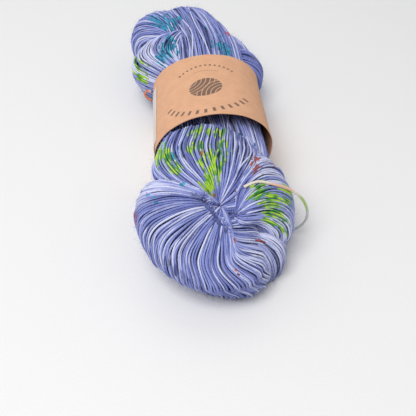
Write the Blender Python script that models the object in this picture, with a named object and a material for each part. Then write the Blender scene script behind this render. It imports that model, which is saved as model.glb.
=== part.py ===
"""A twisted hank of hand-dyed yarn held by a paper belly band.

The wound loop of yarn is twisted on itself and folded, so its two plies swell into lobes at both
ends and run together under the band. Each lobe is lofted through a short table of oval sections:
the first section is the pinch where its turns of yarn meet, the last one lies under the hank.
+Y runs along the hank from its near end to its far end, +Z is up, and Z = 0 is the table.
"""

import math
from collections import namedtuple

import bmesh
import bpy
import numpy as np

CM = 0.01
GAP = 0.0003

# The hank's centre, seen from the middle of the band, so that the origin is under the middle.
MIDDLE = (-0.0061, 0.0029)

Section = namedtuple("Section", "x y z side rise turn dive roll", defaults=(0,))
Section.__doc__ = """One oval section of a lobe: its centre and half sizes in centimetres, and the
heading of the lobe's axis there in degrees: turn from -Y towards +X, dive below the level, and
roll of the oval about that heading."""

LOBES = {
    "front": [
        Section(0.25, -9.75, 4.30, 0.15, 0.10, 30, 128, 68),
        Section(-0.25, -10.08, 4.50, 1.20, 0.50, 30, 125, 68),
        Section(-0.88, -10.45, 4.48, 2.20, 1.05, 30, 120, 68),
        Section(-1.40, -10.78, 4.08, 3.15, 1.68, 30, 113, 68),
        Section(-0.95, -10.50, 3.10, 3.95, 2.75, 30, 104, 68),
        Section(-0.70, -10.55, 1.90, 3.80, 2.80, 30, 94, 68),
        Section(0.05, -10.50, 0.80, 3.40, 2.45, 30, 88, 68),
        Section(0.15, -10.50, -0.40, 2.60, 1.75, 30, 88, 68),
    ],
    "upper": [
        Section(0.15, -9.45, 3.85, 0.15, 0.15, 0, 150),
        Section(0.25, -9.05, 4.10, 1.55, 1.15, 0, 150),
        Section(0.15, -7.90, 3.85, 2.75, 1.75, 0, 158),
        Section(-0.05, -6.50, 3.50, 3.45, 2.10, 0, 170, 4),
        Section(-0.10, -5.30, 3.45, 3.35, 2.20, 0, 178, 9),
        Section(-0.20, -4.50, 3.20, 3.10, 2.35, 0, 172, 14),
        Section(-0.30, -3.70, 2.45, 2.80, 1.75, 0, 165, 12),
        Section(-0.30, -2.00, 2.20, 2.40, 1.40, 0, 180, 8),
    ],
    "right": [
        Section(0.95, -9.70, 3.50, 0.15, 0.15, 105, 20),
        Section(1.20, -8.90, 3.85, 1.60, 1.15, 105, 22),
        Section(1.95, -7.75, 3.60, 2.55, 1.60, 108, 30),
        Section(2.60, -7.45, 3.05, 3.10, 1.75, 110, 45),
        Section(2.85, -7.60, 2.10, 2.95, 1.60, 110, 70),
        Section(2.70, -7.90, 1.00, 2.40, 1.50, 110, 90),
        Section(2.50, -8.20, -0.40, 1.60, 1.10, 110, 95),
    ],
    "lower_right": [
        Section(1.60, -10.20, 2.40, 0.20, 0.20, 60, 30),
        Section(2.15, -10.40, 2.05, 0.95, 0.85, 60, 40),
        Section(2.60, -10.60, 1.60, 1.35, 1.15, 60, 60),
        Section(2.72, -10.75, 0.95, 1.40, 1.20, 60, 85),
        Section(2.60, -10.75, -0.40, 1.10, 0.90, 60, 95),
    ],
    "near_core": [
        Section(0.60, -9.30, 2.60, 1.20, 1.20, 0, 90),
        Section(0.70, -9.40, 1.60, 1.90, 1.70, 0, 90),
        Section(0.80, -9.50, 0.60, 2.10, 1.90, 0, 90),
        Section(0.80, -9.50, -0.40, 2.10, 1.90, 0, 90),
    ],
    "second_ply": [
        Section(0.80, -1.50, 3.10, 2.20, 1.80, 10, 0),
        Section(1.15, -3.60, 3.10, 2.25, 1.90, 15, 5),
        Section(1.40, -5.20, 2.75, 2.20, 1.90, 15, 20),
        Section(1.50, -6.60, 2.10, 2.10, 1.80, 10, 25),
        Section(1.20, -8.20, 1.50, 1.90, 1.40, -5, 15),
    ],
    "waist": [
        Section(0.00, -4.60, 2.00, 2.60, 1.30, 0, 180),
        Section(0.00, -3.00, 2.20, 3.20, 1.90, 0, 180),
        Section(0.00, 0.00, 2.70, 3.40, 2.45, 0, 180),
        Section(0.00, 3.00, 2.60, 3.40, 2.35, 0, 180),
        Section(-0.20, 6.00, 2.10, 3.00, 2.00, 0, 180),
        Section(-0.80, 9.50, 1.80, 2.60, 1.80, 0, 180),
    ],
    "back_left": [
        Section(-1.60, 7.90, 3.80, 0.15, 0.15, 0, -20),
        Section(-1.90, 7.45, 4.20, 1.10, 0.90, 0, -15),
        Section(-2.60, 6.60, 3.60, 2.20, 1.60, 0, -10),
        Section(-3.00, 5.60, 3.00, 2.45, 2.00, 0, 0),
        Section(-2.60, 4.40, 2.80, 2.10, 2.10, 0, 0),
        Section(-1.80, 3.00, 2.90, 1.80, 2.00, 0, 0),
    ],
    "top": [
        Section(0.00, 1.50, 3.00, 2.60, 1.90, 190, 0),
        Section(-0.05, 3.70, 3.10, 2.90, 2.00, 190, 0),
        Section(-0.25, 6.00, 3.40, 2.80, 2.10, 190, 5),
        Section(-0.90, 9.00, 3.40, 2.60, 2.00, 190, 15),
        Section(-1.70, 11.70, 2.80, 2.30, 1.90, 190, 40),
        Section(-2.10, 13.00, 1.50, 1.90, 1.30, 190, 80),
        Section(-2.10, 13.00, -0.40, 1.30, 0.80, 190, 95),
    ],
    "left_ply": [
        Section(-1.60, 2.60, 2.30, 1.80, 1.70, 180, 0),
        Section(-2.20, 4.40, 2.10, 2.10, 1.80, 185, 0),
        Section(-3.00, 6.20, 1.90, 2.20, 1.90, 185, 0),
        Section(-3.20, 8.20, 1.90, 2.20, 1.95, 180, 0),
        Section(-2.60, 10.20, 1.80, 2.00, 1.80, 170, 0),
    ],
    "back_end": [
        Section(-1.70, 8.05, 3.60, 0.15, 0.15, 215, 60),
        Section(-2.20, 8.70, 4.30, 1.10, 0.90, 215, 60),
        Section(-2.90, 9.80, 3.90, 2.20, 1.90, 215, 65),
        Section(-3.10, 10.50, 3.00, 2.90, 2.40, 220, 75),
        Section(-2.90, 10.70, 1.60, 2.90, 2.40, 220, 88),
        Section(-2.60, 10.70, -0.40, 2.20, 1.80, 220, 92),
    ],
    "back_right": [
        Section(0.80, 6.60, 3.00, 0.30, 0.30, 95, 10),
        Section(1.60, 6.50, 2.90, 1.00, 1.00, 95, 15),
        Section(2.40, 6.30, 2.60, 1.60, 1.40, 95, 25),
        Section(2.80, 6.20, 2.00, 1.80, 1.40, 95, 60),
        Section(2.60, 6.20, 1.00, 1.70, 1.30, 95, 90),
        Section(2.40, 6.20, -0.40, 1.20, 0.90, 95, 95),
    ],
    "back_tip": [
        Section(0.60, 10.20, 2.60, 0.50, 0.40, 20, 0),
        Section(1.20, 9.60, 2.90, 0.95, 0.80, 25, 5),
        Section(1.80, 8.60, 2.80, 1.10, 1.00, 25, 10),
        Section(2.30, 7.40, 2.40, 1.10, 1.00, 20, 15),
        Section(2.40, 6.00, 1.80, 0.90, 0.80, 10, 15),
    ],
}
RINGS_PER_SPAN = 5
POINTS_PER_RING = 40
HANK_VOXEL = 0.0040

# The band is an oval paper sleeve: one row for its near edge and one for its far edge.
Edge = namedtuple("Edge", "x y z half_width half_height roll")
NEAR_EDGE = Edge(0.07, -3.84, 3.07, 3.72, 2.93, 17)
FAR_EDGE = Edge(-0.25, 3.62, 2.79, 3.69, 2.70, 9)
PAPER = 0.0004
PAPER_LAYER_GAP = 0.00005
SEAM_START = -75
SEAM_OVERLAP = 25
SEAM_RAMP = 16
BAND_STEPS = 96
BAND_COLUMNS = 5

# How full of yarn the band is, and how fast the yarn swells beyond its edges.
WAIST_FILL = 0.955
WAIST_SOFTNESS = 0.08
SWELL_STARTS = 0.20
SWELL_AT_EDGE = 0.10
SWELL_PER_CM = 0.30

STICKER_LENGTH = 0.058
STICKER_FROM = 150
STICKER_TO = 204
STICKER_THICKNESS = 0.0002
STICKER_STEPS = 14

STRAND_DIAMETER = 0.0016
STRAND_ROUTE = [
    (1.55, -9.02, 4.98),
    (2.35, -8.76, 5.11),
    (3.30, -8.72, 4.83),
    (4.18, -8.60, 4.32),
    (4.92, -8.52, 3.55),
    (5.33, -8.45, 2.65),
    (5.45, -8.30, 1.75),
    (5.28, -8.12, 0.95),
    (4.90, -8.02, 0.42),
    (4.50, -7.95, 0.22),
]
TIE_DIAMETER = 0.0020
TIE_ROUTE = [
    (-4.10, 3.85, 2.44),
    (-4.36, 3.90, 2.48),
    (-4.57, 3.91, 2.20),
    (-4.40, 3.87, 1.88),
    (-4.10, 3.83, 1.70),
]
DIAMETERS_PER_POINT = 2.4

COLOURS = {
    "hank": (0.30, 0.34, 0.62, 0.85),
    "label_band": (0.78, 0.48, 0.27, 0.70),
    "label_sticker": (0.78, 0.74, 0.70, 0.55),
    "tie": (0.86, 0.33, 0.20, 0.85),
    "loose_strand": (0.72, 0.66, 0.52, 0.85),
}


def clear_scene():
    for obj in list(bpy.data.objects):
        bpy.data.objects.remove(obj, do_unlink=True)


def smooth_rows(rows, steps):
    """Rows read from a smooth curve through the given rows, steps to each span."""
    rows = np.array(rows, float)
    last = len(rows) - 1
    places = np.linspace(0, last, last * steps + 1)
    index = np.minimum(places.astype(int), last - 1)
    t = (places - index)[:, None]
    a, b = rows[np.maximum(index - 1, 0)], rows[index]
    c, d = rows[index + 1], rows[np.minimum(index + 2, last)]
    return 0.5 * (2 * b + (c - a) * t + (2 * a - 5 * b + 4 * c - d) * t**2 + (3 * b - a - 3 * c + d) * t**3)


def band_oval(y):
    """(centre x and z, half width, half height, roll) of the band's oval at y, in cm and radians."""
    share = np.clip((y - NEAR_EDGE.y) / (FAR_EDGE.y - NEAR_EDGE.y), 0, 1)
    near, far = (np.array([edge.x, *edge[2:]]) for edge in (NEAR_EDGE, FAR_EDGE))
    values = np.moveaxis(near + (far - near) * np.asarray(share)[..., None], -1, 0)
    return (*values[:4], np.radians(values[4]))


def pulled_in(points):
    """The points with what would stand outside the band drawn in, as the band holds the yarn."""
    x, y, z = points[..., 0], points[..., 1], points[..., 2]
    middle, height, half_width, half_height, roll = band_oval(y)
    x, z = x - middle, z - height
    along = x * np.cos(roll) + z * np.sin(roll)
    across = -x * np.sin(roll) + z * np.cos(roll)
    reach = np.hypot(along / half_width, across / half_height)
    beyond = np.maximum(np.maximum(NEAR_EDGE.y - y, y - FAR_EDGE.y) - SWELL_STARTS, 0)
    limit = WAIST_FILL + SWELL_AT_EDGE * np.sqrt(beyond) + SWELL_PER_CM * beyond
    knee = limit - WAIST_SOFTNESS
    over = np.maximum(reach - knee, 0)
    held = np.where(over > 0, limit - WAIST_SOFTNESS * np.exp(-over / WAIST_SOFTNESS), reach)
    scale = held / np.maximum(reach, 1e-6)
    return np.stack([middle + x * scale, y, height + z * scale], -1)


def lobe_points(sections):
    """Rings of points on a lobe, first section to last, in centimetres."""
    rows = smooth_rows(sections, RINGS_PER_SPAN)
    turn, dive, roll = np.radians(rows[:, 5:8]).T
    flat = np.zeros_like(turn)
    heading = np.stack([np.sin(turn) * np.cos(dive), -np.cos(turn) * np.cos(dive), -np.sin(dive)], 1)
    side = np.stack([np.cos(turn), np.sin(turn), flat], 1)
    rise = np.cross(heading, side)
    roll = roll[:, None]
    side, rise = side * np.cos(roll) + rise * np.sin(roll), rise * np.cos(roll) - side * np.sin(roll)
    angle = np.linspace(0, 2 * math.pi, POINTS_PER_RING, endpoint=False)[None, :, None]
    across = np.cos(angle) * (side * rows[:, 3:4])[:, None]
    upward = np.sin(angle) * (rise * rows[:, 4:5])[:, None]
    return pulled_in(rows[:, None, :3] + across + upward)


def add_lobe(bm, sections):
    """Adds one closed lobe to bm."""
    rings = []
    for ring in lobe_points(sections) * CM:
        rings.append([bm.verts.new(point) for point in ring])
    for lower, upper in zip(rings, rings[1:]):
        for i in range(POINTS_PER_RING):
            j = (i + 1) % POINTS_PER_RING
            bm.faces.new((lower[i], lower[j], upper[j], upper[i]))
    bm.faces.new(rings[0][::-1])
    bm.faces.new(rings[-1])


def object_from(bm, name):
    """A smooth-shaded object made of bm's mesh."""
    bmesh.ops.recalc_face_normals(bm, faces=bm.faces)
    mesh = bpy.data.meshes.new(name)
    bm.to_mesh(mesh)
    bm.free()
    mesh.shade_smooth()
    obj = bpy.data.objects.new(name, mesh)
    bpy.context.collection.objects.link(obj)
    return obj


def moved_to_origin(obj):
    """Puts the object's place over the hank's middle."""
    obj.location.x -= MIDDLE[0]
    obj.location.y -= MIDDLE[1]
    return obj


def build_hank():
    """All lobes merged into one body, then cut flat where the hank rests on the table."""
    bm = bmesh.new()
    for sections in LOBES.values():
        add_lobe(bm, sections)
    rough = object_from(bm, "lobes")
    remesh = rough.modifiers.new("merge", "REMESH")
    remesh.mode = "VOXEL"
    remesh.voxel_size = HANK_VOXEL
    graph = bpy.context.evaluated_depsgraph_get()
    bm = bmesh.new()
    bm.from_object(rough, graph)
    bpy.data.objects.remove(rough, do_unlink=True)
    everything = bm.verts[:] + bm.edges[:] + bm.faces[:]
    bmesh.ops.bisect_plane(bm, geom=everything, plane_co=(0, 0, 0), plane_no=(0, 0, -1), clear_outer=True)
    bmesh.ops.holes_fill(bm, edges=[edge for edge in bm.edges if edge.is_boundary])
    hank = object_from(bm, "hank")
    hank.data.set_sharp_from_angle(angle=math.radians(60))
    return hank


def band_point(angle, share, lift):
    """A point of the band's oval, lifted off it, at an angle in degrees and a share of its length."""
    y = NEAR_EDGE.y + (FAR_EDGE.y - NEAR_EDGE.y) * share
    middle, height, half_width, half_height, roll = band_oval(y)
    a = math.radians(angle)
    along = (half_width * CM + lift) * math.cos(a)
    across = (half_height * CM + lift) * math.sin(a)
    x = along * math.cos(roll) - across * math.sin(roll)
    z = along * math.sin(roll) + across * math.cos(roll)
    return x + middle * CM, y * CM, z + height * CM


def strip(name, angles, shares, lifts, thickness):
    """A closed strip of the given thickness that follows the band's oval, lifted off it by lifts."""
    bm = bmesh.new()
    layers = []
    for depth in (0, thickness):
        layers.append(
            [
                [bm.verts.new(band_point(angle, share, lift + depth)) for share in shares]
                for angle, lift in zip(angles, lifts)
            ]
        )
    inner, outer = layers
    rows, columns = len(angles), len(shares)
    for i in range(rows - 1):
        for j in range(columns - 1):
            for sheet in layers:
                bm.faces.new((sheet[i][j], sheet[i + 1][j], sheet[i + 1][j + 1], sheet[i][j + 1]))
        for j in (0, columns - 1):
            bm.faces.new((inner[i][j], inner[i + 1][j], outer[i + 1][j], outer[i][j]))
    for i in (0, rows - 1):
        for j in range(columns - 1):
            bm.faces.new((inner[i][j], inner[i][j + 1], outer[i][j + 1], outer[i][j]))
    obj = object_from(bm, name)
    obj.data.set_sharp_from_angle(angle=math.radians(40))
    return obj


def build_band():
    """The paper band, glued where its end laps over its start underneath."""
    angles = np.linspace(SEAM_START, SEAM_START + 360 + SEAM_OVERLAP, BAND_STEPS)
    before_lap = SEAM_START + 360 - angles
    rise = np.clip(1 - before_lap / SEAM_RAMP, 0, 1)
    lifts = (PAPER + PAPER_LAYER_GAP) * rise * rise * (3 - 2 * rise) - PAPER
    return strip("label_band", angles, np.linspace(0, 1, BAND_COLUMNS), lifts, PAPER)


def build_sticker():
    """The small sticker on the band's left flank."""
    angles = np.linspace(STICKER_FROM, STICKER_TO, STICKER_STEPS)
    half = STICKER_LENGTH / CM / (FAR_EDGE.y - NEAR_EDGE.y) / 2
    shares = np.linspace(0.5 - half, 0.5 + half, 3)
    return strip("label_sticker", angles, shares, [GAP] * STICKER_STEPS, STICKER_THICKNESS)


def build_cord(name, route, diameter):
    """A round strand along a smooth curve through the route's points."""
    fine = smooth_rows(route, 12) * CM
    lengths = np.concatenate([[0], np.cumsum(np.linalg.norm(np.diff(fine, axis=0), axis=1))])
    count = math.ceil(lengths[-1] / (DIAMETERS_PER_POINT * diameter)) + 1
    even = np.linspace(0, lengths[-1], count)
    points = np.stack([np.interp(even, lengths, fine[:, axis]) for axis in range(3)], 1)
    curve = bpy.data.curves.new(name, "CURVE")
    curve.dimensions = "3D"
    curve.bevel_depth = diameter / 2
    curve.bevel_resolution = 2
    curve.use_fill_caps = True
    spline = curve.splines.new("POLY")
    spline.points.add(count - 1)
    for place, point in zip(spline.points, points):
        place.co = (*point, 1)
    obj = bpy.data.objects.new(name, curve)
    bpy.context.collection.objects.link(obj)
    return obj


def give_material(obj):
    red, green, blue, roughness = COLOURS[obj.name]
    material = bpy.data.materials.new(obj.name)
    material.use_nodes = True
    shader = material.node_tree.nodes["Principled BSDF"]
    shader.inputs["Base Color"].default_value = (red, green, blue, 1)
    shader.inputs["Roughness"].default_value = roughness
    shader.inputs["Metallic"].default_value = 0
    obj.data.materials.append(material)


def main():
    clear_scene()
    pieces = [
        build_hank(),
        build_band(),
        build_sticker(),
        build_cord("tie", TIE_ROUTE, TIE_DIAMETER),
        build_cord("loose_strand", STRAND_ROUTE, STRAND_DIAMETER),
    ]
    for piece in pieces:
        moved_to_origin(piece)
        give_material(piece)


main()
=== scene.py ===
"""The looks of a twisted hank of hand-dyed yarn held by a paper belly band.

The hank is laid strand by strand: each lobe of the twist is a short table of oval sections, and
its strands follow it from the pinch where they meet to where they pass under the hank. Tables of
the hank's shape are in centimetres, as seen from the middle of the band; the dyes' places are in
centimetres in the frame; everything else is in metres.
"""

import math
from collections import namedtuple

import bmesh
import bpy
import numpy as np
from mathutils.bvhtree import BVHTree
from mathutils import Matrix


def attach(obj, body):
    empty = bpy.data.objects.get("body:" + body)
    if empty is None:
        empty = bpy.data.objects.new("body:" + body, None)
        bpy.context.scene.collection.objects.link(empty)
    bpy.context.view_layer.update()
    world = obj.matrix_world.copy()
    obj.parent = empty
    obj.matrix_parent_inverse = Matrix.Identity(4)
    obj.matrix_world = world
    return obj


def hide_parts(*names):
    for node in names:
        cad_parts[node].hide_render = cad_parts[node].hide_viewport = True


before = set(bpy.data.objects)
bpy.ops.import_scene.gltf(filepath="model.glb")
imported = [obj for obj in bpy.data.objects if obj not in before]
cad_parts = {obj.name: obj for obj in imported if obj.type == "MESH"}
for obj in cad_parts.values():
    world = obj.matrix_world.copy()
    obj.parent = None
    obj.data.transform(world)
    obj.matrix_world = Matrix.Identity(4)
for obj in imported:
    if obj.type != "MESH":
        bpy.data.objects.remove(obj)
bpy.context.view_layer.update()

TAU = 2 * math.pi
CM = 0.01
MM = 0.001

# The hank's centre, seen from the middle of the band, so that the origin is under the middle.
MIDDLE = (-0.61, 0.29)

Section = namedtuple("Section", "x y z side rise turn dive roll", defaults=(0,))
Section.__doc__ = """One oval section of a lobe: its centre and half sizes in centimetres, and the
heading of the lobe's axis there in degrees: turn from -Y towards +X, dive below the level, and
roll of the oval about that heading."""

# Each lobe's rows are Sections; a row without a roll has none.
LOBES = {
    "front": [
        (0.25, -9.75, 4.3, 0.15, 0.1, 30, 128, 68),
        (-0.25, -10.08, 4.5, 1.2, 0.5, 30, 125, 68),
        (-0.88, -10.45, 4.48, 2.2, 1.05, 30, 120, 68),
        (-1.4, -10.78, 4.08, 3.15, 1.68, 30, 113, 68),
        (-0.95, -10.5, 3.1, 3.95, 2.75, 30, 104, 68),
        (-0.7, -10.55, 1.9, 3.8, 2.8, 30, 94, 68),
        (0.05, -10.5, 0.8, 3.4, 2.45, 30, 88, 68),
        (0.15, -10.5, -0.4, 2.6, 1.75, 30, 88, 68),
    ],
    "upper": [
        (0.15, -9.45, 3.85, 0.15, 0.15, 0, 150),
        (0.25, -9.05, 4.1, 1.55, 1.15, 0, 150),
        (0.15, -7.9, 3.85, 2.75, 1.75, 0, 158),
        (-0.05, -6.5, 3.5, 3.45, 2.1, 0, 170, 4),
        (-0.1, -5.3, 3.45, 3.35, 2.2, 0, 178, 9),
        (-0.2, -4.5, 3.2, 3.1, 2.35, 0, 172, 14),
        (-0.3, -3.7, 2.45, 2.8, 1.75, 0, 165, 12),
        (-0.3, -2.0, 2.2, 2.4, 1.4, 0, 180, 8),
    ],
    "right": [
        (0.95, -9.7, 3.5, 0.15, 0.15, 105, 20),
        (1.2, -8.9, 3.85, 1.6, 1.15, 105, 22),
        (1.95, -7.75, 3.6, 2.55, 1.6, 108, 30),
        (2.6, -7.45, 3.05, 3.1, 1.75, 110, 45),
        (2.85, -7.6, 2.1, 2.95, 1.6, 110, 70),
        (2.7, -7.9, 1.0, 2.4, 1.5, 110, 90),
        (2.5, -8.2, -0.4, 1.6, 1.1, 110, 95),
    ],
    "lower_right": [
        (1.6, -10.2, 2.4, 0.2, 0.2, 60, 30),
        (2.15, -10.4, 2.05, 0.95, 0.85, 60, 40),
        (2.6, -10.6, 1.6, 1.35, 1.15, 60, 60),
        (2.72, -10.75, 0.95, 1.4, 1.2, 60, 85),
        (2.6, -10.75, -0.4, 1.1, 0.9, 60, 95),
    ],
    "near_core": [
        (0.6, -9.3, 2.6, 1.2, 1.2, 0, 90),
        (0.7, -9.4, 1.6, 1.9, 1.7, 0, 90),
        (0.8, -9.5, 0.6, 2.1, 1.9, 0, 90),
        (0.8, -9.5, -0.4, 2.1, 1.9, 0, 90),
    ],
    "second_ply": [
        (0.8, -1.5, 3.1, 2.2, 1.8, 10, 0),
        (1.15, -3.6, 3.1, 2.25, 1.9, 15, 5),
        (1.4, -5.2, 2.75, 2.2, 1.9, 15, 20),
        (1.5, -6.6, 2.1, 2.1, 1.8, 10, 25),
        (1.2, -8.2, 1.5, 1.9, 1.4, -5, 15),
    ],
    "waist": [
        (0.0, -4.6, 2.0, 2.6, 1.3, 0, 180),
        (0.0, -3.0, 2.2, 3.2, 1.9, 0, 180),
        (0.0, 0.0, 2.7, 3.4, 2.45, 0, 180),
        (0.0, 3.0, 2.6, 3.4, 2.35, 0, 180),
        (-0.2, 6.0, 2.1, 3.0, 2.0, 0, 180),
        (-0.8, 9.5, 1.8, 2.6, 1.8, 0, 180),
    ],
    "back_left": [
        (-1.6, 7.9, 3.8, 0.15, 0.15, 0, -20),
        (-1.9, 7.45, 4.2, 1.1, 0.9, 0, -15),
        (-2.6, 6.6, 3.6, 2.2, 1.6, 0, -10),
        (-3.0, 5.6, 3.0, 2.45, 2.0, 0, 0),
        (-2.6, 4.4, 2.8, 2.1, 2.1, 0, 0),
        (-1.8, 3.0, 2.9, 1.8, 2.0, 0, 0),
    ],
    "top": [
        (0.0, 1.5, 3.0, 2.6, 1.9, 190, 0),
        (-0.05, 3.7, 3.1, 2.9, 2.0, 190, 0),
        (-0.25, 6.0, 3.4, 2.8, 2.1, 190, 5),
        (-0.9, 9.0, 3.4, 2.6, 2.0, 190, 15),
        (-1.7, 11.7, 2.8, 2.3, 1.9, 190, 40),
        (-2.1, 13.0, 1.5, 1.9, 1.3, 190, 80),
        (-2.1, 13.0, -0.4, 1.3, 0.8, 190, 95),
    ],
    "left_ply": [
        (-1.6, 2.6, 2.3, 1.8, 1.7, 180, 0),
        (-2.2, 4.4, 2.1, 2.1, 1.8, 185, 0),
        (-3.0, 6.2, 1.9, 2.2, 1.9, 185, 0),
        (-3.2, 8.2, 1.9, 2.2, 1.95, 180, 0),
        (-2.6, 10.2, 1.8, 2.0, 1.8, 170, 0),
    ],
    "back_end": [
        (-1.7, 8.05, 3.6, 0.15, 0.15, 215, 60),
        (-2.2, 8.7, 4.3, 1.1, 0.9, 215, 60),
        (-2.9, 9.8, 3.9, 2.2, 1.9, 215, 65),
        (-3.1, 10.5, 3.0, 2.9, 2.4, 220, 75),
        (-2.9, 10.7, 1.6, 2.9, 2.4, 220, 88),
        (-2.6, 10.7, -0.4, 2.2, 1.8, 220, 92),
    ],
    "back_right": [
        (0.8, 6.6, 3.0, 0.3, 0.3, 95, 10),
        (1.6, 6.5, 2.9, 1.0, 1.0, 95, 15),
        (2.4, 6.3, 2.6, 1.6, 1.4, 95, 25),
        (2.8, 6.2, 2.0, 1.8, 1.4, 95, 60),
        (2.6, 6.2, 1.0, 1.7, 1.3, 95, 90),
        (2.4, 6.2, -0.4, 1.2, 0.9, 95, 95),
    ],
    "back_tip": [
        (0.6, 10.2, 2.6, 0.5, 0.4, 20, 0),
        (1.2, 9.6, 2.9, 0.95, 0.8, 25, 5),
        (1.8, 8.6, 2.8, 1.1, 1.0, 25, 10),
        (2.3, 7.4, 2.4, 1.1, 1.0, 20, 15),
        (2.4, 6.0, 1.8, 0.9, 0.8, 10, 15),
    ],
}

Edge = namedtuple("Edge", "x y z half_width half_height roll")
Edge.__doc__ = "The band's oval at one of its edges, in centimetres, with its roll in degrees."
NEAR_EDGE = Edge(0.07, -3.84, 3.07, 3.72, 2.93, 17)
FAR_EDGE = Edge(-0.25, 3.62, 2.79, 3.69, 2.70, 9)

# How the band holds the yarn: shares of its oval, and centimetres beyond its edges.
WAIST_FILL = 0.955
WAIST_SOFTNESS = 0.08
SWELL_STARTS = 0.20
SWELL_AT_EDGE = 0.10
SWELL_PER_CM = 0.30

# Strands, in centimetres. LEAST_FACING is the cosine by which a strand has to face out of its
# lobe, and LEAST_RUN the fewest rings of a stretch that is drawn.
RINGS_PER_SPAN = 6
STRAND_RADIUS = 0.054
STRAND_PITCH = 0.145
STRAND_SIDES = 6
DEEPEST_SHOWN = 0.30
LOWEST_SHOWN = -0.15
LEAST_FACING = -0.05
LEAST_RUN = 4

# How strands stray from an even lay: as a share of the pitch or of the radius, or in
# centimetres for a lift, and how long one wave of it is, in centimetres.
Stray = namedtuple("Stray", "size reach")
CROSSING = Stray(7.0, 9.0)
UNEVENNESS = Stray(0.07, 1.6)
OWN_LIFT = Stray(0.035, 3.0)
SHARED_LIFT = Stray(0.05, 4.0)
WANDER_REACH = 6.0
SWAY_REACH = 7.0
START_SPREAD = 0.25
THINNEST = 0.88
THICKEST = 1.08
CROSSING_LIFT = 1.1 * STRAND_RADIUS

Lay = namedtuple("Lay", "depth sway wander crossing")
Lay.__doc__ = """A layer of strands: its depth in centimetres, how far neighbours sway together
and a strand wanders by itself, in pitches, and the share of strands that ride over the others."""
OUTER_LAY = Lay(0.0, 0.18, 0.35, 0.07)
INNER_LAY = Lay(0.09, 1.2, 0.8, 0.0)

# The yarn's own twist, and how much its fibres' noise is drawn out along it.
TWIST_LENGTH = 9 * MM
FIBRE_STRETCH = 7.0

# The mass under the strands: centimetres inside the lobes, the first section of a lobe that
# belongs to it, and metres for its voxels and for how far it stays above the table.
CORE_INSET = 0.28
CORE_STARTS = {"front": 2}
CORE_SIDES = 40
CORE_RINGS_PER_SPAN = 5
CORE_VOXEL = 0.0022
CORE_FLOOR = 0.0008

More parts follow.
